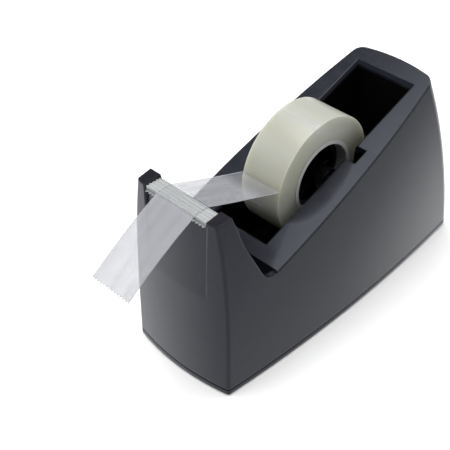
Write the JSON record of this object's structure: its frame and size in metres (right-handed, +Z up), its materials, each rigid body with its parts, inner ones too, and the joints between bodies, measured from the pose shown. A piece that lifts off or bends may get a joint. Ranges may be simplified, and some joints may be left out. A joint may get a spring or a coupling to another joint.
{
  "type": "tape dispenser",
  "caption": "Weighted desk tape dispenser: wedge housing with a sloping deck, a roll of clear tape on a lift-out axle, and a ribbed platform with a serrated cutting blade.",
  "frame": {"origin": "centre of the rest face under the non-slip pad, on the dispenser's middle plane", "axes": "+Z up; the blade end faces -Y and the tall rear end faces +Y; X runs across the width, along the roll's axle"},
  "size_m": [0.0516, 0.1724, 0.0819],
  "materials": {
    "housing_plastic": "fine satin moulding, charcoal grey",
    "black_plastic": "satin moulding, black",
    "base_plastic": "satin moulding, charcoal grey",
    "pad_foam": "fine-celled foam, non-slip",
    "ballast_iron": "as cast, oiled",
    "screw_steel": "zinc plated",
    "blade_steel": "bright spring steel",
    "platform_metal": "bright ribbed strip",
    "axle_plastic": "polished, black",
    "hub_plastic": "polished, black",
    "core_plastic": "white moulded core",
    "tape_wound": "wound clear film, ivory where it is thick",
    "tape_film": "clear matt film"
  },
  "bodies": {
    "dispenser": {"outer_shell": "housing_plastic", "deck_insert": "housing_plastic", "roll_cradle": "black_plastic", "base_plate": "base_plastic", "non_slip_pad": "pad_foam", "ballast_slab": "ballast_iron", "ballast_block": "ballast_iron", "base_screws": "screw_steel", "ballast_screws": "screw_steel", "cradle_screws": "screw_steel", "holder_screws": "screw_steel", "blade_holder": "black_plastic", "cutting_blade": "blade_steel", "tape_platform": "platform_metal", "tape_lead": "tape_film"},
    "axle": {"axle_pin": "axle_plastic"},
    "roll": {"hub_left": "hub_plastic", "hub_right": "hub_plastic", "tape_core": "core_plastic", "tape_winding": "tape_wound"}
  },
  "joints": [
    {"name": "axle_shift", "type": "slide", "parent": "dispenser", "child": "axle", "axis": [0, 0.9379, 0.347], "range_m": [0, 0.01089]},
    {"name": "roll_spin", "type": "hinge", "parent": "axle", "child": "roll", "pos_m": [0, -0.00486, 0.0574], "axis": [1, 0, 0], "continuous": true}
  ]
}
